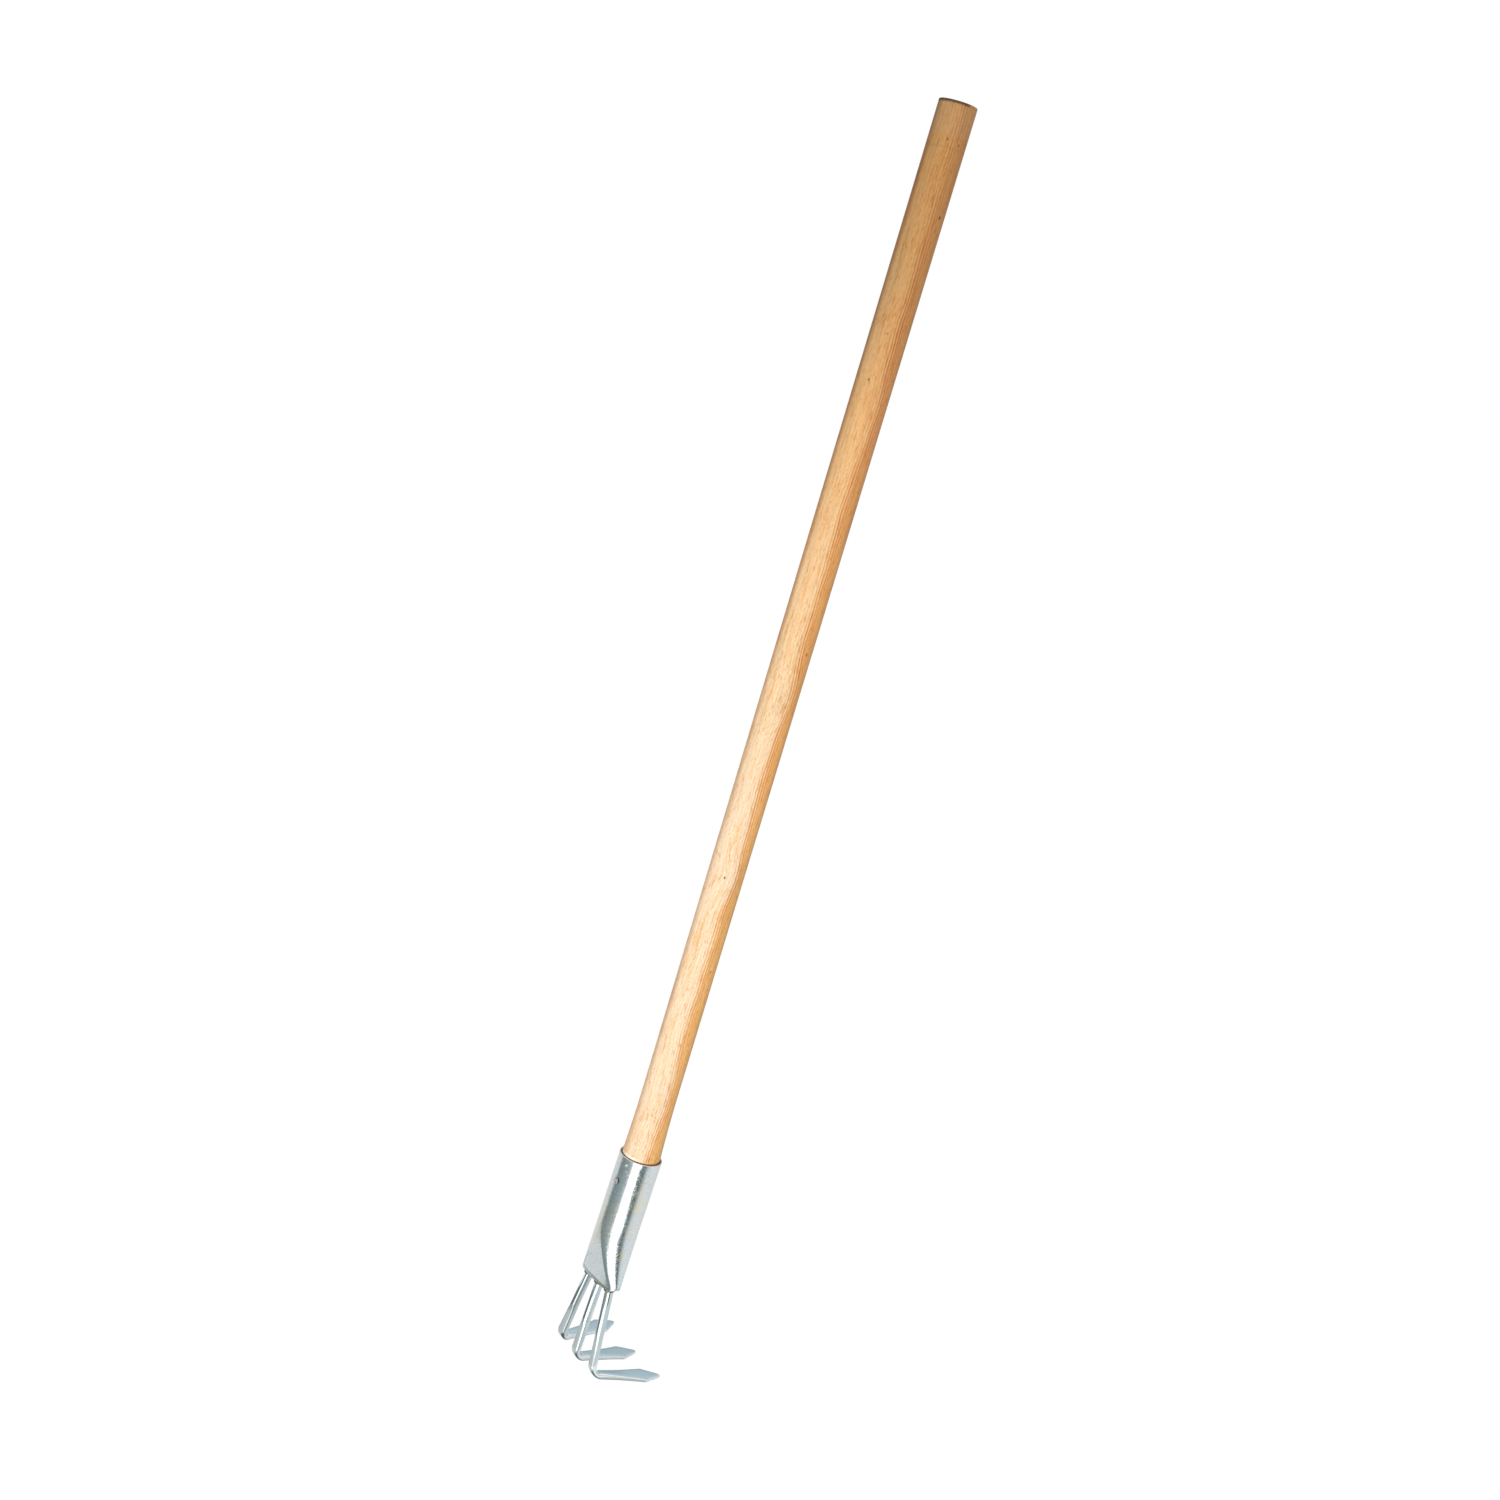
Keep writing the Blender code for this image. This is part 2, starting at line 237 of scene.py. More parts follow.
def pressed_half_thickness(depth):
    """Outer half thickness of the socket: round, then pressed ever thinner, then even."""
    def eased(distance):
        return math.hypot(max(distance, 0.0), PRESS_EASE) - PRESS_EASE
    share = min(eased(depth - PRESS_START) / eased(SOCKET_LENGTH - PRESS_LAND - PRESS_START), 1.0)
    return SOCKET_RADIUS - (SOCKET_RADIUS - LIP_HALF_THICKNESS) * share


def half_straight(half_thickness):
    return math.pi / 2 * (SOCKET_RADIUS - half_thickness)


def lip_rise(y):
    share = y / (LIP_HALF_THICKNESS + half_straight(LIP_HALF_THICKNESS))
    return LIP_RISE * share ** 4 - LIP_SLANT * share


def oblong(half_thickness, half_straight_side, z, count):
    """Evenly spaced points of a level outline with two straight sides along Y and two round ends."""
    arc = math.pi * half_thickness
    side = 2 * half_straight_side
    points = []
    for i in range(count):
        along = (2 * side + 2 * arc) * i / count
        sign = -1 if along > side + arc else 1
        along -= side + arc if sign < 0 else 0
        if along <= half_straight_side:
            x, y = half_thickness, along
        elif along < half_straight_side + arc:
            angle = (along - half_straight_side) / half_thickness
            x = half_thickness * math.cos(angle)
            y = half_straight_side + half_thickness * math.sin(angle)
        else:
            x, y = -half_thickness, side + arc - along
        points.append(Vector((sign * x, sign * y, z)))
    return points


def socket_mesh():
    """The tube, followed down its outside, round its lip, up its bore and over its rim."""
    segments = 176
    round_steps = 12
    pressed_steps = 44
    pressed = SOCKET_LENGTH - PRESS_START
    depths = [PRESS_START * i / round_steps for i in range(1, round_steps)]
    depths += [PRESS_START + pressed * i / pressed_steps for i in range(pressed_steps)]
    edge = [(math.cos(a), math.sin(a)) for a in (math.pi / 2 * i / 4 for i in range(5))]
    path = [(RIM_ROUND * (1 - s), RIM_ROUND * (1 - c)) for c, s in edge[::-1]]
    path += [(depth, 0.0) for depth in depths]
    path += [(SOCKET_LENGTH - RIM_ROUND * (1 - s), RIM_ROUND * (1 - c)) for c, s in edge]
    path += [(SOCKET_LENGTH - RIM_ROUND * (1 - s), SOCKET_WALL - RIM_ROUND * (1 - c)) for c, s in edge[::-1]]
    path += [(depth, SOCKET_WALL) for depth in depths[::-1]]
    path += [(RIM_ROUND * (1 - s), SOCKET_WALL - RIM_ROUND * (1 - c)) for c, s in edge]
    rings = []
    for depth, inwards in path:
        half = pressed_half_thickness(depth)
        towards_lip = max(depth - PRESS_START, 0.0) / pressed
        ring = oblong(half - inwards, half_straight(half), -depth, segments)
        for point in ring:
            point.z += lip_rise(point.y) * towards_lip
        rings.append(ring)
    socket = build_mesh("steel_socket", rings, looped=True, sharp=60)
    ease = SOCKET_DENTS_EASE
    dent(socket, *SOCKET_DENTS, 2, lambda p: min(max((-p.z - ease) / ease, LEAST_DENTS), 1.0))
    return socket


def form_at(distance):
    """Width, thickness and squareness of a tine at a distance from its corner."""
    for (start, *above), (end, *below) in zip(TINE_FORM, TINE_FORM[1:]):
        if distance <= end:
            share = (distance - start) / (end - start)
            return [a + (b - a) * share for a, b in zip(above, below)]
    return TINE_FORM[-1][1:]


def soft_form_at(distance):
    """The same with the corners of the outline a little rounded."""
    spread = min(FORM_SPREAD, max(TINE_FORM[-1][0] - distance, 0.0))
    forms = [form_at(distance + spread * k) for k in (-1.0, -0.5, 0.0, 0.5, 1.0)]
    return [sum(values) / len(values) for values in zip(*forms)]


def tine_ring(centre, direction, across, form, count=56):
    width, thickness, squareness = form
    outward = across.cross(direction)
    ring = []
    for i in range(count):
        angle = math.tau * (i + 0.5) / count
        cosine, sine = math.cos(angle), math.sin(angle)
        u = math.copysign(abs(cosine) ** (2 / squareness), cosine) * width / 2
        v = math.copysign(abs(sine) ** (2 / squareness), sine) * thickness / 2
        ring.append(centre + across * u + outward * v)
    return ring


def tine_mesh(name, side, more_drop, more_lean, more_lift):
    leg = Vector((math.tan(LEG_LEAN + more_lean), side * math.tan(TINE_SPLAY), -1.0)).normalized()
    ahead = Vector((math.cos(side * BLADE_FAN), math.sin(side * BLADE_FAN), 0.0))
    ahead = (ahead - leg * ahead.dot(leg)).normalized()
    lift = BLADE_LIFT + more_lift
    blade = ahead * math.cos(lift) - leg * math.sin(lift)
    across = leg.cross(blade).normalized()
    level = blade.cross(Vector((0.0, 0.0, 1.0))).normalized()
    corner = Vector((0.0, side * ROD_PITCH, -SOCKET_LENGTH)) + leg * ((TINE_DROP + more_drop) / -leg.z)
    turn = leg.angle(blade)
    reach = BEND_RADIUS * math.tan(turn / 2)
    rings = []

    length = (TINE_DROP + more_drop + ROD_INSERT) / -leg.z
    steps = 130
    for i in range(steps + 1):
        above = length + (reach - length) * i / steps
        rings.append(tine_ring(corner - leg * above, leg, across, soft_form_at(-above)))

    sideways = (blade - leg * blade.dot(leg)).normalized()
    centre = corner + (sideways - leg * math.tan(turn / 2)) * BEND_RADIUS
    steps = 22
    for i in range(1, steps):
        share = i / steps
        cosine, sine = math.cos(turn * share), math.sin(turn * share)
        width, thickness, squareness = soft_form_at(reach * (2 * share - 1))
        thickness *= 1 - BEND_THINNING * math.sin(math.pi * share)
        spoke = leg * sine - sideways * cosine
        direction = leg * cosine + sideways * sine
        form = (width, thickness, squareness)
        rings.append(tine_ring(centre + spoke * BEND_RADIUS, direction, across, form))

    end = TINE_FORM[-1][0]
    steps = 96
    for i in range(steps + 1):
        distance = reach + (end - reach) * i / steps
        levelled = min(distance / (BLADE_BODY * BLADE_LEVEL_FROM), 1.0)
        wide = across.lerp(level, levelled).normalized()
        rings.append(tine_ring(corner + blade * distance, blade, wide, soft_form_at(distance)))

    tine = build_mesh(f"forged_tine_{name}", rings, sharp=75)
    hammered = -(SOCKET_LENGTH + TINE_DROP - HAMMERED_LENGTH)
    dent(tine, *TINE_DENTS, side + 5, lambda p: 1.0 if p.z < hammered else LEAST_DENTS)
    return tine


def weld_mesh(name, side):
    """A lumpy fillet round the rod that follows the lip and the lean of the rod."""
    segments = 64
    seed = side * 4.3 + 2.0
    outline = (
        (0.0, 0.0), (0.55, 0.0), (1.0, 0.06), (1.0, 0.35), (0.86, 0.6),
        (0.55, 0.8), (0.2, 0.97), (0.0, 1.0), (0.0, 0.5),
    )
    rings = []
    for out, down in outline:
        ring = circle(1.0, 0.0, segments)
        for point in ring:
            lump = noise.noise(Vector((point.x * WELD_LUMPS, point.y * WELD_LUMPS, seed)))
            radius = WELD_BORE + WELD_REACH * min(out * (1.0 + WELD_UNEVEN_REACH * lump), 1.0)
            under_lip = TOUCH + WELD_HEIGHT * min(down * (1.0 + WELD_UNEVEN_HEIGHT * lump), 1.0)
            y = side * ROD_PITCH + radius * point.y
            under_lip -= lip_rise(y)
            point.x *= radius
            point.y = y + side * under_lip * math.tan(TINE_SPLAY)
            point.z = -SOCKET_LENGTH - under_lip
        rings.append(ring)
    return build_mesh(f"weld_bead_{name}", rings, looped=True, sharp=70)


def nail_mesh():
    """The nail along its own Z, its head at -Z."""
    segments = 40
    seat = -(SOCKET_RADIUS + TOUCH)
    tip = seat + NAIL_LENGTH
    head = NAIL_HEAD_RADIUS
    outline = [
        (head * 0.05, seat - NAIL_HEAD_HEIGHT),
        (head * 0.35, seat - NAIL_HEAD_HEIGHT * 0.98),
        (head * 0.62, seat - NAIL_HEAD_HEIGHT * 0.9),
        (head * 0.85, seat - NAIL_HEAD_HEIGHT * 0.74),
        (head * 0.97, seat - NAIL_HEAD_HEIGHT * 0.5),
        (head, seat - NAIL_HEAD_HEIGHT * 0.3),
        (head, seat - NAIL_HEAD_HEIGHT * 0.06),
        (head * 0.96, seat),
        (NAIL_RADIUS * 1.15, seat),
        (NAIL_RADIUS, seat + NAIL_NECK),
        (NAIL_RADIUS, tip - NAIL_POINT),
        (NAIL_RADIUS * 0.15, tip),
    ]
    rings = [circle(radius, z, segments) for radius, z in outline]
    nail = build_mesh("round_nail", rings, sharp=50)
    dent(nail, *NAIL_DENTS, 9, lambda p: 1.0 if p.z < seat + NAIL_NECK / 2 else 0.0)
    return nail


# Materials

class Material:
    """A Principled material and short ways to add nodes to it."""

    def __init__(self, name, **settings):
        self.material = bpy.data.materials.new(name)
        self.material.use_nodes = True
        self.tree = self.material.node_tree
        self.shader = self.tree.nodes["Principled BSDF"]
        for socket, value in settings.items():
            self.set(self.shader, socket.replace("_", " "), value)

    def set(self, node, socket, value):
        if isinstance(value, bpy.types.NodeSocket):
            self.tree.links.new(value, node.inputs[socket])
        else:
            node.inputs[socket].default_value = value

    def add(self, kind, inputs=None, **settings):
        node = self.tree.nodes.new(kind)
        for key, value in settings.items():
            setattr(node, key, value)
        for socket, value in (inputs or {}).items():
            self.set(node, socket, value)
        return node

    def place(self):
        """Coordinates of the object itself, in metres."""
        return self.add("ShaderNodeTexCoord").outputs["Object"]

    def maths(self, operation, *values):
        node = self.add("ShaderNodeMath", operation=operation)
        for i, value in enumerate(values):
            self.set(node, i, value)
        return node.outputs[0]

    def dot(self, vector, direction):
        node = self.add("ShaderNodeVectorMath", {0: vector, 1: direction}, operation="DOT_PRODUCT")
        return node.outputs["Value"]

    def stretch(self, vector, scale):
        return self.add("ShaderNodeVectorMath", {0: vector, 1: scale}, operation="MULTIPLY").outputs[0]

    def length(self, vector):
        return self.add("ShaderNodeVectorMath", {0: vector}, operation="LENGTH").outputs["Value"]

    def distance(self, place, point):
        return self.add("ShaderNodeVectorMath", {0: place, 1: point}, operation="DISTANCE").outputs["Value"]

    def vector(self, x, y, z):
        return self.add("ShaderNodeCombineXYZ", {0: x, 1: y, 2: z}).outputs[0]

    def height(self, place):
        return self.add("ShaderNodeSeparateXYZ", {0: place}).outputs["Z"]

    def normal(self):
        """Direction of the surface in the object's own coordinates."""
        return self.add("ShaderNodeTexCoord").outputs["Normal"]

    def noise(self, vector, scale=1.0, detail=2.0, roughness=0.5, distortion=0.0):
        inputs = {"Vector": vector, "Scale": scale, "Detail": detail, "Roughness": roughness}
        inputs["Distortion"] = distortion
        return self.add("ShaderNodeTexNoise", inputs).outputs["Fac"]

    def ramp(self, value, *stops):
        """Colours by value: stops of (position, colour)."""
        node = self.add("ShaderNodeValToRGB", {"Fac": value})
        ramp = node.color_ramp
        while len(ramp.elements) < len(stops):
            ramp.elements.new(0.5)
        for element, (position, colour) in zip(ramp.elements, stops):
            element.position = position
            element.color = (*colour, 1.0)
        return node.outputs["Color"]

    def between(self, value, start, end, low=0.0, high=1.0):
        """Eases from low to high while the value goes from start to end."""
        inputs = {"Value": value, "From Min": start, "From Max": end, "To Min": low, "To Max": high}
        return self.add("ShaderNodeMapRange", inputs, interpolation_type="SMOOTHSTEP").outputs[0]

    def bell(self, value, centre, width):
        """1 where the value is the centre, and less to both sides."""
        away = self.maths("DIVIDE", self.maths("SUBTRACT", value, centre), width)
        return self.maths("EXPONENT", self.maths("MULTIPLY", self.maths("MULTIPLY", away, away), -1.0))

    def mix(self, share, a, b, blend="MIX"):
        node = self.add("ShaderNodeMix", data_type="RGBA", blend_type=blend)
        for socket, value in (("Factor", share), ("A", a), ("B", b)):
            found = [s for s in node.inputs if s.name == socket and s.enabled][0]
            if isinstance(value, bpy.types.NodeSocket):
                self.tree.links.new(value, found)
            else:
                found.default_value = (*value, 1.0) if isinstance(value, tuple) else value
        return [s for s in node.outputs if s.enabled][0]

    def tinted(self, colour, strength, tint):
        return self.mix(strength, colour, tint, blend="MULTIPLY")

    def bump(self, height, strength, distance):
        node = self.add("ShaderNodeBump", {"Height": height, "Strength": strength, "Distance": distance})
        self.set(self.shader, "Normal", node.outputs[0])


# Scale from metres to millimetres. The wood and the zinc are laid out in millimetres from the centre of the
# socket's mouth
TO_MM = (1000.0, 1000.0, 1000.0)

# Level directions across the photographed side of the rake, and across and through the layers of the wood
ACROSS_VIEW = (math.cos(math.radians(-39.7)), math.sin(math.radians(-39.7)), 0.0)
ACROSS_LAYERS = (0.927, -0.375, 0.0)
THROUGH_LAYERS = (0.375, 0.927, 0.0)

# Swells of the grain on the handle: height above the mouth, how far the lines swing aside and over what
# length, all in mm
SWELLS = ((243, 3.4, 22), (392, 3.0, 26), (612, 2.8, 36), (56, 3.0, 30))

# Distance between growth lines in their bundle, in mm
LINE_SPACING = 2.1

# Small marks on the handle: height above the mouth in mm, turn round the handle in degrees, radius in mm,
# strength from 0 to 1
MARKS = (
    (753.5, 8.7, 1.3, 0.95), (631.1, -58.5, 1.1, 0.7), (665.7, -43.5, 1.0, 0.5), (806.0, -40.2, 1.1, 0.6),
    (804.0, -1.9, 1.1, 0.6), (424.9, 6.7, 1.4, 0.6), (242.8, -40.5, 1.1, 0.9), (166.2, 7.3, 1.1, 0.6),
)

# Colour of the wood by height above the mouth, in mm: paler near the socket, browner towards the free end
PALE_WOOD = (
    (0, (0.97, 0.77, 0.55)), (280, (0.98, 0.78, 0.56)), (410, (0.97, 0.72, 0.44)), (500, (0.97, 0.66, 0.36)),
    (600, (0.94, 0.56, 0.245)), (700, (0.75, 0.43, 0.175)), (790, (0.70, 0.37, 0.13)),
)
AMBER_WOOD = (
    (0, (0.98, 0.58, 0.23)), (280, (0.98, 0.56, 0.21)), (410, (0.95, 0.50, 0.18)), (500, (0.94, 0.49, 0.17)),
    (600, (0.83, 0.40, 0.15)), (700, (0.72, 0.35, 0.12)), (790, (0.66, 0.33, 0.115)),
)
MARK_BROWN = (0.13, 0.055, 0.025)
END_WOOD = (0.62, 0.44, 0.24)
END_RING = (0.28, 0.15, 0.07)
DARK_ARRIS = (0.12, 0.06, 0.03)
BARE_SHOULDER_HIGHLIGHT = (1.0, 0.95, 0.84)
SHADED_FOOT = (0.30, 0.12, 0.03)


def wood_by_height(wood, height, stops):
    span = stops[-1][0]
    return wood.ramp(wood.maths("DIVIDE", height, span), *[(h / span, colour) for h, colour in stops])


def marked_wood(wood, place, colour):
    """Small dark marks, each a spot drawn out along the handle."""
    for mark_height, turn, radius, strength in MARKS:
        angle = math.radians(turn)
        spot = Vector((math.sin(angle), -math.cos(angle), 0.0)) * (HANDLE_RADIUS / MM)
        spot.z = mark_height
        offset = wood.add("ShaderNodeVectorMath", {0: place, 1: spot}, operation="SUBTRACT").outputs[0]
        far = wood.length(wood.stretch(offset, (1.0, 1.0, 0.7)))
        dark = wood.between(far, radius, radius * 0.3, 0.0, strength)
        colour = wood.mix(dark, colour, MARK_BROWN)
    return colour


def end_marks_and_painted_light(wood, height, across, pores, colour):
    """The free end with a paler length, a faint ring below it and a dark arris. At the socket, bare wood on
    the shoulder on one side with a painted highlight, and painted shade below it."""
    top = (HANDLE_LENGTH - HANDLE_SEAT) / MM
    ragged = wood.maths("MULTIPLY_ADD", pores, 3.0, height)
    colour = wood.mix(wood.between(ragged, top - 24.0, top - 21.0, 0.0, 0.18), colour, END_WOOD)
    ring = wood.between(wood.bell(ragged, top - 31.0, 0.9), 0.0, 1.0, 0.0, 0.14)
    colour = wood.mix(ring, colour, END_RING)
    edge_mark = wood.between(ragged, top - 1.4, top + 0.3, 0.0, 0.95)
    colour = wood.mix(wood.maths("MULTIPLY", edge_mark, wood.between(across, 11.0, 6.0)), colour, DARK_ARRIS)

    # Bare wood on the shoulder on one side, brightened as a painted highlight, and painted shade at the foot
    # below it
    bare_and_lit = wood.between(wood.bell(height, 1.9, 1.05), 0.1, 0.8, 0.0, 1.0)
    shoulder_highlight = wood.maths("MULTIPLY", bare_and_lit, wood.between(across, 3.0, -6.0))
    colour = wood.mix(shoulder_highlight, colour, BARE_SHOULDER_HIGHLIGHT)
    return wood.mix(wood.between(height, 1.1, 0.6, 0.0, 0.9), colour, SHADED_FOOT)


def wood_material():
    wood = Material("varnished_wood", Roughness=0.55, Specular_IOR_Level=0.18)
    place = wood.stretch(wood.place(), TO_MM)
    height = wood.height(place)
    through = wood.dot(place, THROUGH_LAYERS)
    swing = wood.noise(wood.vector(0.0, 0.0, wood.maths("MULTIPLY", height, 0.012)), detail=2.0)
    swing = wood.maths("MULTIPLY", wood.maths("SUBTRACT", swing, 0.5), 7.0)
    for swell_height, reach, length in SWELLS:
        swing = wood.maths("MULTIPLY_ADD", wood.bell(height, swell_height, length), reach, swing)
    grain = wood.maths("SUBTRACT", wood.dot(place, ACROSS_LAYERS), swing)

    def grain_noise(swells_across, swells_through, swells_along, detail, roughness=0.6, seed=0.0):
        """Noise drawn out along the grain, by how many swells there are in 1 mm each way."""
        vector = wood.vector(
            wood.maths("MULTIPLY_ADD", grain, swells_across, seed),
            wood.maths("MULTIPLY", through, swells_through),
            wood.maths("MULTIPLY", height, swells_along),
        )
        return wood.noise(vector, detail=detail, roughness=roughness)

    # Pale and amber wood, with clouds of gold and of grey
    amber = wood_by_height(wood, height, AMBER_WOOD)
    colour = wood.mix(wood.between(grain, -2.0, 5.0), wood_by_height(wood, height, PALE_WOOD), amber)
    gold = grain_noise(0.16, 0.16, 0.02, 3.0, seed=5.0)
    colour = wood.mix(wood.between(gold, 0.5, 0.72, 0.0, 0.5), colour, amber)
    grey = grain_noise(0.2, 0.2, 0.012, 2.0, seed=11.0)
    colour = wood.tinted(colour, wood.between(grey, 0.52, 0.7, 0.0, 0.5), (0.82, 0.80, 0.76))

    # Bundle of growth lines that runs the whole length, and fainter lines beside it
    waver = grain_noise(0.04, 0.02, 0.012, 3.0, seed=3.0)
    phase = wood.maths("MULTIPLY_ADD", waver, 9.0, wood.maths("MULTIPLY", grain, math.tau / LINE_SPACING))
    lines = wood.maths("MULTIPLY_ADD", wood.maths("SINE", phase), 0.5, 0.5)
    fading = grain_noise(0.45, 0.1, 0.02, 2.0, seed=7.0)
    beside = wood.maths("MULTIPLY_ADD", wood.bell(grain, 1.5, 3.6), 0.95, 0.12)
    strength = wood.maths("MULTIPLY", wood.between(lines, 0.45, 1.0), beside)
    strength = wood.maths("MULTIPLY", strength, wood.between(fading, 0.3, 0.6, 0.3, 1.0))
    colour = wood.tinted(colour, strength, (0.74, 0.44, 0.24))

    # Flecks drawn out along the grain: long streaks, brown dashes and fine pores
    streaks = grain_noise(0.7, 0.7, 0.035, 3.0, 0.65, seed=31.0)
    colour = wood.tinted(colour, wood.between(streaks, 0.48, 0.66, 0.0, 0.7), (0.92, 0.76, 0.58))
    dashes = grain_noise(0.8, 0.8, 0.13, 2.0, 0.55, seed=17.0)
    colour = wood.tinted(colour, wood.between(dashes, 0.56, 0.68, 0.0, 0.75), (0.84, 0.62, 0.42))
    pores = grain_noise(1.1, 1.1, 0.4, 3.0, 0.75, seed=23.0)
    colour = wood.tinted(colour, wood.between(pores, 0.45, 0.66, 0.0, 0.75), (0.87, 0.76, 0.63))

    across = wood.dot(place, ACROSS_VIEW)
    colour = marked_wood(wood, place, colour)
    colour = end_marks_and_painted_light(wood, height, across, pores, colour)

    # Painted shade in a strip down the side left of the view, stronger towards the free end, and greyer wood
    # beside it there
    edge_shade_tint = wood.mix(wood.between(height, 250.0, 650.0), (0.88, 0.78, 0.70), (0.62, 0.52, 0.46))
    colour = wood.tinted(colour, wood.between(across, -10.5, -13.8), edge_shade_tint)
    greyer = wood.maths("MULTIPLY", wood.between(across, 0.0, -10.0), wood.between(height, 450.0, 680.0))
    colour = wood.tinted(colour, greyer, (0.92, 0.99, 1.08))
    wood.set(wood.shader, "Base Color", colour)
    wood.set(wood.shader, "Roughness", wood.between(pores, 0.3, 0.7, 0.5, 0.65))
    wood.bump(wood.maths("SUBTRACT", 1.0, pores), 0.3, 0.12 * MM)
    return wood.material


# Yellow stains, a dark ring round the nail and white specks on the plating of the socket, from the mouth
# along the tube in mm: place, radius, strength from 0 to 1
STAINS = (
    ((-4.1, -17.0, -24.0), 7.0, 0.7), ((-1.5, -17.3, -36.0), 7.0, 0.9), ((2.0, -17.0, -31.0), 6.0, 0.5),
    ((-16.0, 4.0, -61.0), 8.0, 0.9), ((-14.0, 5.0, -71.0), 8.0, 0.8), ((-2.5, -17.1, -79.0), 6.0, 0.8),
)
NAIL_RING = (
    ((-17.4, -1.7, -21.2), 3.9, 0.9),
)
SPECKS = (
    ((-16.4, -6.0, -5.4), 1.5, 1.0), ((-15.9, -7.3, -10.2), 0.9, 0.7), ((-17.2, -3.5, -30.0), 0.5, 0.6),
)
NAIL_RING_DARK = (0.22, 0.18, 0.17)
SPECK_WHITE = (1.0, 1.0, 0.96)

# Bare and matt metal, painted shade in the bore and a painted highlight along the blades' edge
WORN_MOUTH = (0.70, 0.68, 0.62)
CUT_LIP = (0.80, 0.86, 0.87)
BORE_SHADE = (0.08, 0.06, 0.05)
BORE_SHADE_LIT_SIDE = (0.50, 0.44, 0.36)
MATT_ZINC = (0.60, 0.67, 0.68)
BLADE_EDGE_HIGHLIGHT = (1.0, 0.97, 0.90)

# Height, in mm from the mouth, below which the outer faces of the legs are matt
MATT_BELOW = -144.0


def marked_tube(zinc, place, colour, rough, yellow):
    """Stains, a dark ring round the nail and specks, the worn mouth, the cut lip and painted shade in the
    bore of the socket. Returns the colour and the roughness."""
    along = (math.sin(HEAD_LEAN), 0.0, math.cos(HEAD_LEAN))
    depth = zinc.maths("MULTIPLY", zinc.dot(place, along), -1.0)
    ragged = zinc.noise(place, scale=0.35, detail=4.0, roughness=0.7)
    marks = ((STAINS, yellow, 0.08), (NAIL_RING, NAIL_RING_DARK, 0.28), (SPECKS, SPECK_WHITE, 0.68))
    for spots, spot_colour, dulling in marks:
        for spot, radius, strength in spots:
            far = zinc.distance(place, Matrix.Rotation(HEAD_LEAN, 3, "Y") @ Vector(spot))
            if spots is STAINS:
                far = zinc.maths("MULTIPLY_ADD", zinc.maths("SUBTRACT", ragged, 0.5), radius * 2.4, far)
            share = zinc.between(far, radius, radius * 0.4, 0.0, strength)
            colour = zinc.mix(share, colour, spot_colour)
            rough = zinc.maths("MULTIPLY_ADD", share, dulling, rough)

    # Worn bare edge of the mouth, and the dull cut edge at the lip
    edge_mark = zinc.between(zinc.maths("MULTIPLY_ADD", ragged, 0.6, depth), 0.9, 0.5)
    colour = zinc.mix(edge_mark, colour, WORN_MOUTH)
    rough = zinc.maths("MULTIPLY_ADD", edge_mark, 0.3, rough)
    downwards = zinc.between(zinc.dot(zinc.normal(), (0.0, 0.0, -1.0)), 0.25, 0.6)
    cut = zinc.maths("MULTIPLY", downwards, zinc.between(depth, 103.0, 106.0))
    colour = zinc.mix(cut, colour, CUT_LIP)
    dull = zinc.maths("MAXIMUM", edge_mark, cut)
    zinc.set(zinc.shader, "Metallic", zinc.maths("SUBTRACT", 1.0, zinc.maths("MULTIPLY", dull, 0.8)))

    # Painted shade in the bore, lighter on one side as if lit there, told from the outside by its distance
    # from the axis of the tube
    crossed = zinc.add("ShaderNodeVectorMath", {0: place, 1: along}, operation="CROSS_PRODUCT").outputs[0]
    outside = SOCKET_RADIUS / MM
    wall = SOCKET_WALL / MM
    bore = zinc.between(zinc.length(crossed), outside - wall * 0.6, outside - wall * 0.8)
    bore = zinc.maths("MULTIPLY", bore, zinc.between(depth, 40.0, 30.0))
    bore_shade = zinc.mix(zinc.between(zinc.dot(place, ACROSS_VIEW), 6.0, 14.0), BORE_SHADE, BORE_SHADE_LIT_SIDE)
    return zinc.mix(bore, colour, bore_shade), rough


def forged_faces(zinc, place, colour):
    """Matt faces on the legs, turned away from the blades, and a painted highlight along the edge round the
    blades' top.
    """
    normal = zinc.normal()
    height = zinc.height(place)
    matt = zinc.between(zinc.dot(normal, (-1.0, 0.0, 0.0)), 0.86, 0.95)
    matt = zinc.maths("MULTIPLY", matt, zinc.between(height, MATT_BELOW, MATT_BELOW - 12.0))
    colour = zinc.mix(matt, colour, MATT_ZINC)
    # Painted highlight along the edge between the top and the sides of the blades
    upward = zinc.dot(normal, (0.0, 0.0, 1.0))
    edge_highlight = zinc.maths("MULTIPLY", zinc.between(upward, 0.45, 0.60), zinc.between(upward, 0.95, 0.85))
    edge_highlight = zinc.maths("MULTIPLY", edge_highlight, zinc.between(height, -174.0, -178.0))
    colour = zinc.mix(edge_highlight, colour, BLADE_EDGE_HIGHLIGHT)
    dull = zinc.maths("MAXIMUM", matt, edge_highlight)
    zinc.set(zinc.shader, "Metallic", zinc.maths("SUBTRACT", 1.0, zinc.maths("MULTIPLY", dull, 0.75)))
    return colour


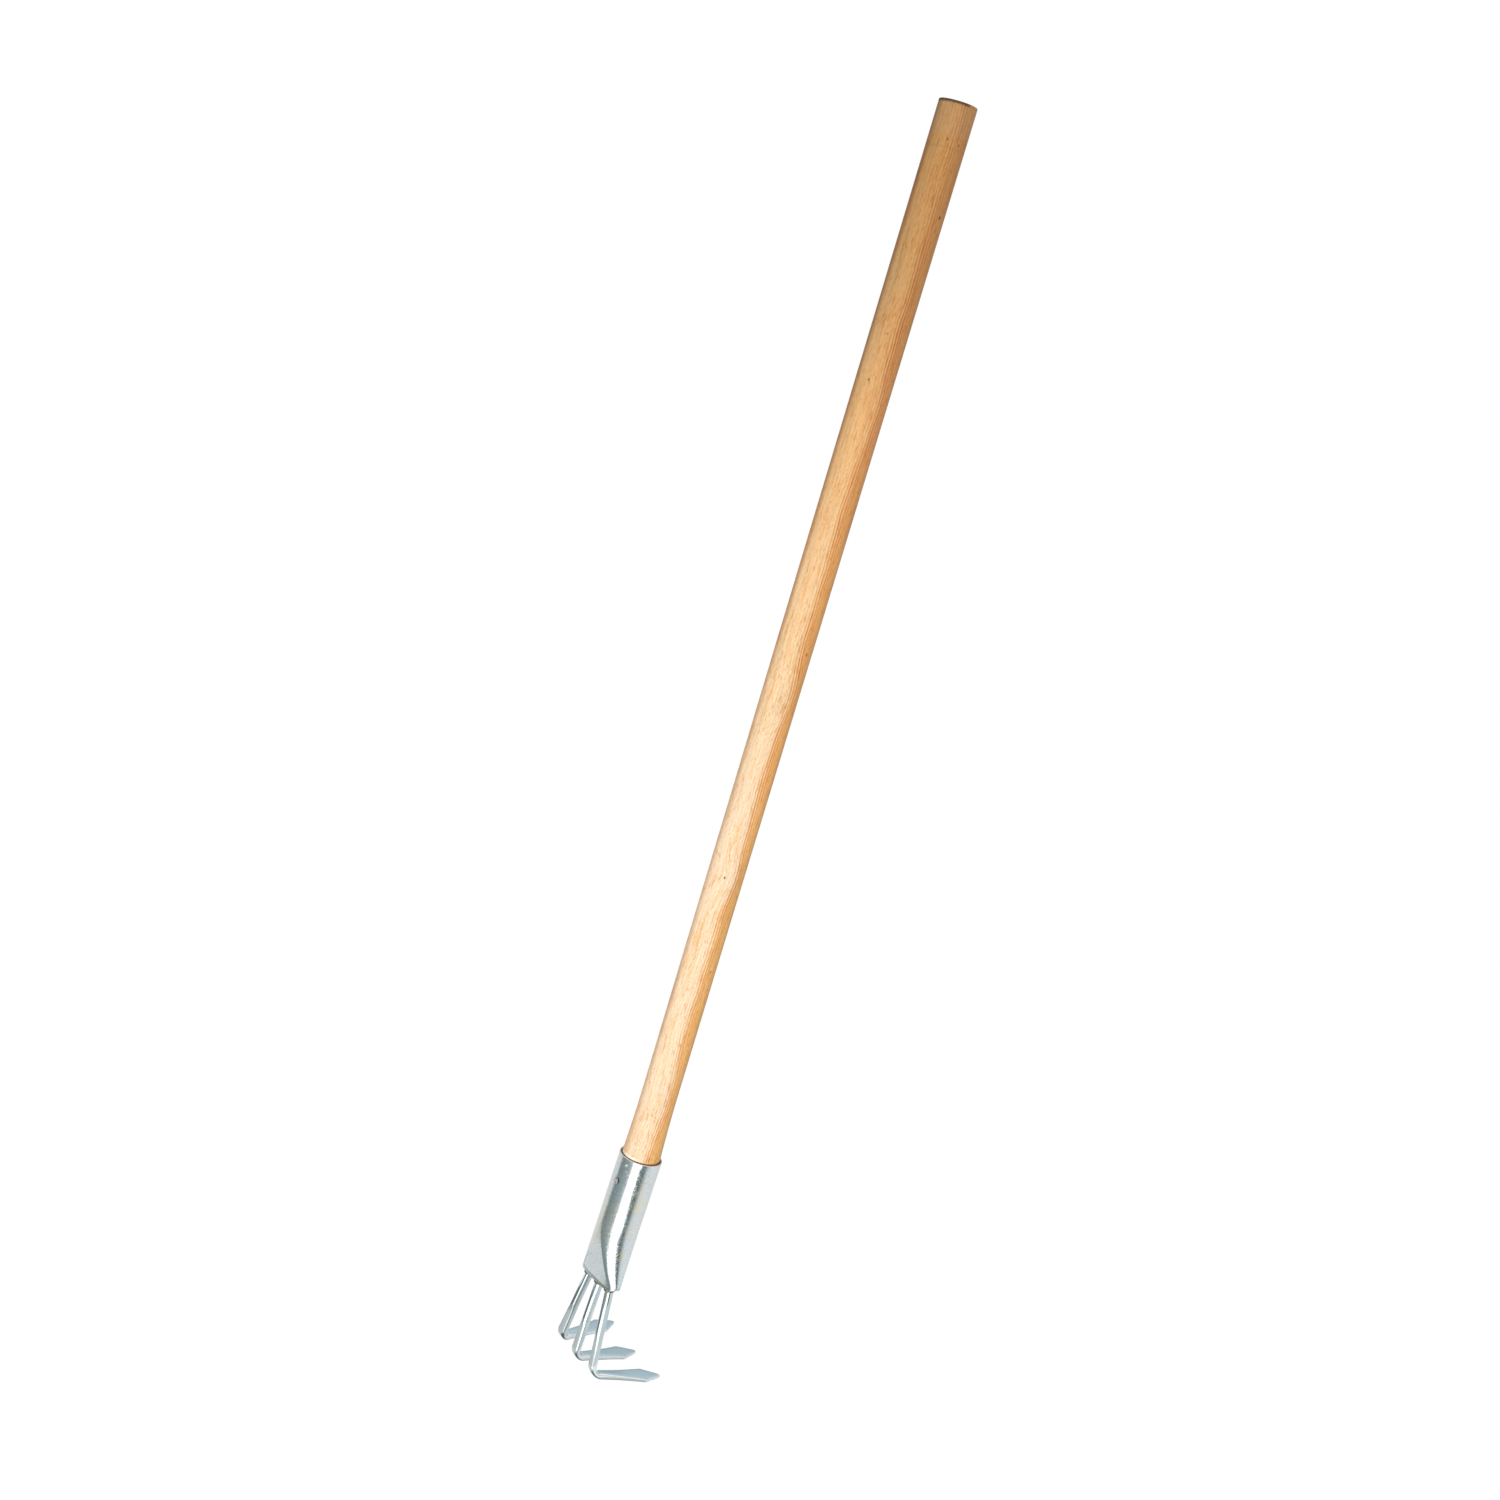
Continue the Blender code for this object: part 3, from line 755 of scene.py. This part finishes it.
def zinc_material(name, tint, roughness, spangle, patches, relief, is_tube):
    """Zinc plating: fine mottled crystals by spangle, faint yellow and blue patches and a soft gloss."""
    zinc = Material(name, Metallic=1.0, Roughness=roughness)
    place = zinc.stretch(zinc.place(), TO_MM)
    crystals = zinc.noise(place, scale=0.5, detail=2.0, roughness=0.7)
    grains = zinc.noise(place, scale=1.0, detail=2.0, roughness=0.6)
    cloud = zinc.noise(place, scale=0.075, detail=3.0, roughness=0.6, distortion=0.6)
    dark = tuple(c * (1 - spangle) for c in tint)
    yellow = tuple(c * share for c, share in zip(tint, (1.03, 0.94, 0.78)))
    blue = tuple(c * share for c, share in zip(tint, (0.90, 0.97, 1.03)))
    grainy = tuple(1 - spangle * share for share in (1.9, 1.8, 1.7))
    colour = zinc.mix(zinc.between(crystals, 0.4, 0.6), dark, tint)
    colour = zinc.mix(zinc.between(cloud, 0.53, 0.64, 0.0, patches), colour, yellow)
    colour = zinc.mix(zinc.between(cloud, 0.49, 0.36, 0.0, patches), colour, blue)
    colour = zinc.tinted(colour, zinc.between(grains, 0.50, 0.62), grainy)
    rough = zinc.maths("ADD", zinc.between(crystals, 0.42, 0.64, -0.03, spangle), roughness)
    rough = zinc.maths("ADD", zinc.between(grains, 0.44, 0.62, 0.0, spangle), rough)
    if is_tube:
        colour, rough = marked_tube(zinc, place, colour, rough, yellow)
    else:
        colour = forged_faces(zinc, place, colour)
    zinc.set(zinc.shader, "Base Color", colour)
    zinc.set(zinc.shader, "Roughness", rough)
    zinc.bump(crystals, relief, 0.05 * MM)
    return zinc.material


# Colours of the weld and of the nail's head, by the noise that marks their lumps and their rust
WELD_COLOURS = ((0.38, (0.05, 0.05, 0.05)), (0.5, (0.22, 0.22, 0.21)), (0.62, (0.72, 0.68, 0.62)))
NAIL_COLOURS = ((0.36, (0.20, 0.18, 0.18)), (0.47, (0.38, 0.36, 0.35)), (0.60, (0.52, 0.49, 0.48)))

# Centre of the nail's head, from the mouth along the tube in mm, and the width and colour of the painted
# shade round its rim
NAIL_HEAD_PLACE = (-18.2, -1.8, -21.2)
NAIL_RIM_SHADE_WIDTH = 0.6 * MM
NAIL_RIM_SHADE = (0.12, 0.10, 0.10)


def weld_material():
    weld = Material("weld_metal", Metallic=1.0, Roughness=0.45)
    place = weld.place()
    lumps = weld.noise(place, scale=700.0, detail=3.0, roughness=0.6)
    weld.set(weld.shader, "Base Color", weld.ramp(lumps, *WELD_COLOURS))
    weld.set(weld.shader, "Roughness", weld.between(lumps, 0.3, 0.7, 0.3, 0.6))
    weld.bump(lumps, 0.6, 0.2 * MM)
    return weld.material


def nail_material():
    nail = Material("nail_steel", Metallic=0.2, Roughness=0.5)
    place = nail.place()
    rust = nail.noise(place, scale=700.0, detail=3.0, roughness=0.6)
    head = Matrix.Rotation(HEAD_LEAN, 3, "Y") @ Vector(NAIL_HEAD_PLACE) * MM
    out = nail.distance(place, head)
    # Painted shade round the rim of the nail's head
    rim_shade = nail.between(out, NAIL_HEAD_RADIUS - NAIL_RIM_SHADE_WIDTH, NAIL_HEAD_RADIUS, 0.0, 0.7)
    nail.set(nail.shader, "Base Color", nail.mix(rim_shade, nail.ramp(rust, *NAIL_COLOURS), NAIL_RIM_SHADE))
    nail.set(nail.shader, "Roughness", nail.between(rust, 0.3, 0.7, 0.6, 0.4))
    nail.bump(rust, 0.5, 0.1 * MM)
    return nail.material


# Studio

def white_to_camera(tree, lit, output):
    """White where the camera, gloss or glass looks, and the lit shader for the rest."""
    path = tree.nodes.new("ShaderNodeLightPath")
    either = tree.nodes.new("ShaderNodeMath")
    either.operation = "MAXIMUM"
    tree.links.new(path.outputs["Is Camera Ray"], either.inputs[0])
    tree.links.new(path.outputs["Is Glossy Ray"], either.inputs[1])
    seen = tree.nodes.new("ShaderNodeMath")
    seen.operation = "MAXIMUM"
    tree.links.new(either.outputs[0], seen.inputs[0])
    tree.links.new(path.outputs["Is Transmission Ray"], seen.inputs[1])
    mix = tree.nodes.new("ShaderNodeMixShader")
    tree.links.new(seen.outputs[0], mix.inputs[0])
    tree.links.new(lit, mix.inputs[1])
    tree.links.new(mix.outputs[0], output)
    return mix


# World, floor and key light, in metres and watts
WORLD_STRENGTH = 0.5
FLOOR_REACH = 60.0
FLOOR_DROP = 0.1 * MM
FLOOR_PAINT = (0.85, 0.85, 0.85, 1.0)
FLOOR_GLOW = 1.15
FLOOR_GLOW_SHARE = 0.8
KEY_PLACE = (-0.79, -0.65, 0.3)
KEY_TARGET = (0.0, 0.0, 0.3)
KEY_SIZE = (0.6, 0.6)
KEY_POWER = 6.6


def make_world(strength):
    world = bpy.data.worlds.new("studio")
    bpy.context.scene.world = world
    world.use_nodes = True
    tree = world.node_tree
    lit = tree.nodes["Background"]
    lit.inputs["Color"].default_value = (1.0, 1.0, 1.0, 1.0)
    lit.inputs["Strength"].default_value = strength
    white = tree.nodes.new("ShaderNodeBackground")
    white.inputs["Strength"].default_value = 1.0
    white.inputs["Color"].default_value = (1.0, 1.0, 1.0, 1.0)
    mix = white_to_camera(tree, lit.outputs[0], tree.nodes["World Output"].inputs["Surface"])
    tree.links.new(white.outputs[0], mix.inputs[2])


def make_floor():
    mesh = bpy.data.meshes.new("floor")
    corners = [(x * FLOOR_REACH, y * FLOOR_REACH, 0) for x, y in ((-1, -1), (1, -1), (1, 1), (-1, 1))]
    mesh.from_pydata(corners, [], [(0, 1, 2, 3)])
    floor = bpy.data.objects.new("floor", mesh)
    bpy.context.scene.collection.objects.link(floor)
    floor.location.z = -FLOOR_DROP
    material = bpy.data.materials.new("pale_floor")
    material.use_nodes = True
    tree = material.node_tree
    tree.nodes.clear()
    output = tree.nodes.new("ShaderNodeOutputMaterial")
    paint = tree.nodes.new("ShaderNodeBsdfDiffuse")
    paint.inputs["Color"].default_value = FLOOR_PAINT
    glow = tree.nodes.new("ShaderNodeEmission")
    glow.inputs["Strength"].default_value = FLOOR_GLOW
    backed = tree.nodes.new("ShaderNodeMixShader")
    backed.inputs[0].default_value = FLOOR_GLOW_SHARE
    tree.links.new(paint.outputs[0], backed.inputs[1])
    tree.links.new(glow.outputs[0], backed.inputs[2])
    mix = white_to_camera(tree, paint.outputs[0], output.inputs["Surface"])
    tree.links.new(backed.outputs[0], mix.inputs[2])
    mesh.materials.append(material)
    floor.visible_glossy = False


# The tent that the metal mirrors. Its floor has a mouth under the rake, through which the tines see a pit,
# and a low card stands on the right of the tines. Places on it are told by the turn round the rake, in
# degrees from the way the bright stripe runs, and by how far out they are, in metres
TENT_FRONT = math.radians(-42.0)
TENT_REACH = 1.3
TENT_HEIGHT = 2.6
TENT_SINK = 2 * MM
PIT_MOUTH = 0.15
PIT_DEPTH = 0.5
PIT_REACH = 1.6
CARD_REACH = 0.09
CARD_HEIGHT = 0.052
CARD_FOOT = 0.003
CARD_TURNS = (13, 130)

# Brightness by turn: of the floor, then of the pit from far to near, where the tops of the rods see it,
# where the legs do, and where the far rods and the pressed flat do
FLOOR_TONES = (
    (-180, 0.79), (-110, 0.79), (-99, 0.71), (-93, 0.36), (-88, 0.27), (-77, 0.27), (-62, 0.33), (-50, 0.37),
    (-38, 0.42), (-28, 0.56), (-20, 0.70), (20, 0.20), (29, 0.18), (43, 0.19), (50, 0.40), (56, 0.60),
    (64, 0.80), (90, 0.86), (115, 0.84), (150, 0.76), (180, 0.72),
)
ROD_TONES = (
    (-180, 0.22), (-64, 0.17), (-55, 0.3), (-40, 0.5), (0, 0.5), (12, 0.44), (36, 0.46), (62, 0.62),
    (90, 0.78), (120, 0.76), (180, 0.60),
)
LEG_TONES = (
    (-180, 0.5), (-104, 0.3), (-86, 0.18), (-62, 0.20), (-50, 0.4), (0, 0.42), (10, 0.42), (30, 0.48),
    (62, 0.62), (86, 0.80), (115, 0.82), (140, 0.70), (180, 0.62),
)
INNER_TONES = (
    (-180, 0.26), (-84, 0.26), (-62, 0.30), (-52, 0.38), (-44, 0.98), (-28, 0.98), (-16, 0.52), (-3, 0.26),
    (12, 0.20), (25, 0.44), (45, 0.52), (80, 0.58), (110, 0.68), (180, 0.60),
)

# Tones under SHADE are tinted
SHADE = 0.5
SHADE_TINT = (0.92, 1.05, 1.04)

# Light of the bright stripe, of the side of the pit that the pressed flat sees, of the card with its part
# behind the rake, of the painted shadow under the bends, and of the wall behind the rake, low and high
STRIPE_WHITE = (1.7, 1.7, 1.7)
FLAT_LIGHT = (0.79, 0.8058, 0.8058)
CARD_TONE = (0.66, 0.70, 0.70)
CARD_TONE_BEHIND = (0.58, 0.69, 0.72)
PAINTED_BEND_SHADOW = (0.12, 0.13, 0.13)
BACK_LOW = (0.33, 0.435, 0.48)
BACK_HIGH = (0.54, 0.64, 0.70)


def tent_mesh():
    """Pit, floor and wall as rings with a gap between the pit and the floor, and the card."""
    count = 72
    pit = [circle(radius, -PIT_DEPTH, count) for radius in (0.002, 0.5, PIT_REACH)]
    floor = [circle(radius, 0.0, count) for radius in (PIT_MOUTH, 0.4, TENT_REACH)]
    wall = [circle(TENT_REACH, TENT_HEIGHT * k / 4, count) for k in (1, 2, 3, 4)]
    rings = pit + floor + wall
    points = [point for ring in rings for point in ring]
    faces = []
    for k in range(len(rings) - 1):
        if k == len(pit) - 1:
            continue
        for i in range(count):
            j = (i + 1) % count
            faces.append((k * count + i, k * count + j, (k + 1) * count + j, (k + 1) * count + i))
    start, end = (TENT_FRONT - math.pi / 2 + math.radians(turn) for turn in CARD_TURNS)
    steps = 24
    for i in range(steps + 1):
        turn = start + (end - start) * i / steps
        for z in (CARD_FOOT, CARD_HEIGHT):
            points.append((CARD_REACH * math.cos(turn), CARD_REACH * math.sin(turn), z))
        if i:
            last = len(points) - 1
            faces.append((last - 3, last - 1, last, last - 2))
    mesh = bpy.data.meshes.new("tent")
    mesh.from_pydata(points, [], faces)
    return mesh


def tent_cloth():
    """The light that each place on the tent sends out."""
    cloth = Material("tent_cloth")
    place = cloth.place()
    height = cloth.height(place)
    ahead = cloth.dot(place, (math.sin(TENT_FRONT), -math.cos(TENT_FRONT), 0.0))
    aside = cloth.dot(place, (math.cos(TENT_FRONT), math.sin(TENT_FRONT), 0.0))
    far = cloth.length(cloth.vector(ahead, aside, 0.0))
    turn = cloth.maths("MULTIPLY", cloth.maths("ARCTAN2", aside, ahead), math.degrees(1))

    def tones(stops):
        share = cloth.maths("MULTIPLY_ADD", turn, 1 / 360, 0.5)
        colours = []
        for degrees, tone in stops:
            tint = SHADE_TINT if tone < SHADE else (1.0, 1.0, 1.0)
            colours.append((0.5 + degrees / 360, tuple(tone * c for c in tint)))
        return cloth.ramp(share, *colours)

    def stripe(left, right):
        """1 between two turns."""
        inside_left = cloth.between(cloth.maths("SUBTRACT", turn, left), -2.0, 2.0)
        inside_right = cloth.between(cloth.maths("SUBTRACT", turn, right), 2.0, -2.0)
        return cloth.maths("MULTIPLY", inside_left, inside_right)

    # Floor, with a stripe that is widest near the rake, and the wall behind the rake
    left = cloth.between(far, 0.28, 0.19, -22.0, -40.0)
    right = cloth.between(far, 0.42, 0.29, 17.5, 30.0)
    right = cloth.maths("ADD", right, cloth.between(far, 0.495, 0.525, 0.0, 7.0))
    floor = cloth.mix(stripe(left, right), tones(FLOOR_TONES), STRIPE_WHITE)
    back = cloth.mix(cloth.between(height, 0.3, 0.9), BACK_LOW, BACK_HIGH)
    wall = cloth.maths("MULTIPLY", cloth.between(height, 0.08, 0.2), cloth.between(ahead, -0.1, -0.3))
    floor = cloth.mix(wall, floor, back)

    # Pit: the outer part with its stripe, the inner part with a slanting edge, and a painted shadow under
    # the bends
    pit = cloth.mix(cloth.between(far, 1.03, 1.06), tones(LEG_TONES), tones(ROD_TONES))
    pit = cloth.mix(stripe(-55.0, 4.0), pit, STRIPE_WHITE)
    slant = cloth.maths("MULTIPLY_ADD", far, 70.0, -151.0)
    edge = cloth.between(cloth.maths("SUBTRACT", turn, slant), 1.5, -1.5)
    inner = cloth.mix(edge, tones(INNER_TONES), FLAT_LIGHT)
    pit = cloth.mix(cloth.between(far, 0.85, 0.80), pit, inner)
    pit = cloth.mix(cloth.between(far, 0.44, 0.36), pit, PAINTED_BEND_SHADOW)
    light = cloth.mix(cloth.between(height, -0.3, -0.2), pit, floor)

    # Card
    card = cloth.mix(cloth.between(turn, 66.0, 82.0), CARD_TONE, CARD_TONE_BEHIND)
    on_card = cloth.maths("MULTIPLY", cloth.between(far, 0.12, 0.1), cloth.between(height, 0.0, 0.002))
    light = cloth.mix(on_card, light, card)

    glow = cloth.add("ShaderNodeEmission", {"Color": light, "Strength": 1.0})
    cloth.tree.links.new(glow.outputs[0], cloth.tree.nodes["Material Output"].inputs["Surface"])
    return cloth.material


def make_tent(centre):
    """Cloth round the rake that only gloss shows: a floor, a wall, a pit below the floor and a low card."""
    mesh = tent_mesh()
    mesh.materials.append(tent_cloth())
    tent = bpy.data.objects.new("tent", mesh)
    bpy.context.scene.collection.objects.link(tent)
    tent.location = (centre.x, centre.y, -TENT_SINK)
    for way in ("camera", "diffuse", "shadow", "transmission", "volume_scatter"):
        setattr(tent, "visible_" + way, False)


def make_softbox(name, place, target, size, power):
    light = bpy.data.lights.new(name, "AREA")
    light.shape = "RECTANGLE"
    light.size, light.size_y = size
    light.energy = power
    lamp = bpy.data.objects.new(name, light)
    bpy.context.scene.collection.objects.link(lamp)
    lamp.location = place
    lamp.rotation_euler = (Vector(target) - Vector(place)).to_track_quat("-Z", "Y").to_euler()
    lamp.visible_glossy = False
    lamp.visible_camera = False


def make_camera(mouth):
    data = bpy.data.cameras.new("camera")
    data.sensor_width = CAMERA_SENSOR
    data.lens = CAMERA_LENS
    data.shift_x = CAMERA_SHIFT
    data.clip_start = CAMERA_NEAR
    camera = bpy.data.objects.new("camera", data)
    bpy.context.scene.collection.objects.link(camera)
    up = CAMERA_RIGHT.cross(CAMERA_FORWARD)
    turn = Matrix((CAMERA_RIGHT, up, -CAMERA_FORWARD)).transposed().to_4x4()
    camera.matrix_world = Matrix.Translation(mouth + CAMERA_PLACE) @ turn
    bpy.context.scene.camera = camera


def main():
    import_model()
    low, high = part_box("handle")
    mouth = Vector(((low.x + high.x) / 2, (low.y + high.y) / 2, high.z - (HANDLE_LENGTH - HANDLE_SEAT)))
    upright = Matrix.Identity(4)
    leaning = Matrix.Rotation(HEAD_LEAN, 4, "Y")
    lying = Matrix.Rotation(NAIL_TURN, 4, "Z") @ Matrix.Rotation(math.pi / 2, 4, "Y")
    nailed = leaning @ Matrix.Translation((0, 0, -NAIL_DEPTH)) @ lying

    tube = zinc_material(
        "zinc_tube", (0.81, 0.87, 0.88),
        roughness=0.13, spangle=0.09, patches=0.6, relief=0.22, is_tube=True,
    )
    forged = zinc_material(
        "zinc_forged", (0.80, 0.87, 0.89),
        roughness=0.08, spangle=0.025, patches=0.3, relief=0.15, is_tube=False,
    )
    welded = weld_material()
    pieces = [
        (handle_mesh(), "handle", upright, wood_material(), "wood"),
        (socket_mesh(), "socket", leaning, tube, "zinc_plated_steel"),
        (nail_mesh(), "nail", nailed, nail_material(), "nail_steel"),
    ]
    for name, (side, *strays) in TINES.items():
        tine = tine_mesh(name, side, *strays)
        pieces.append((tine, f"tine_{name}", leaning, forged, "zinc_plated_steel"))
        pieces.append((weld_mesh(name, side), f"weld_{name}", leaning, welded, "weld_metal"))
    for obj, node, turn, material, slot in pieces:
        obj.data.transform(turn)
        obj.data.materials.append(material)
        obj.location = mouth
        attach(obj, "root")
        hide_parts(node)

    scene = bpy.context.scene
    scene.view_settings.view_transform = "Standard"
    make_world(WORLD_STRENGTH)
    make_floor()
    make_tent(mouth)
    make_softbox("key", KEY_PLACE, KEY_TARGET, KEY_SIZE, KEY_POWER)
    make_camera(mouth)


main()
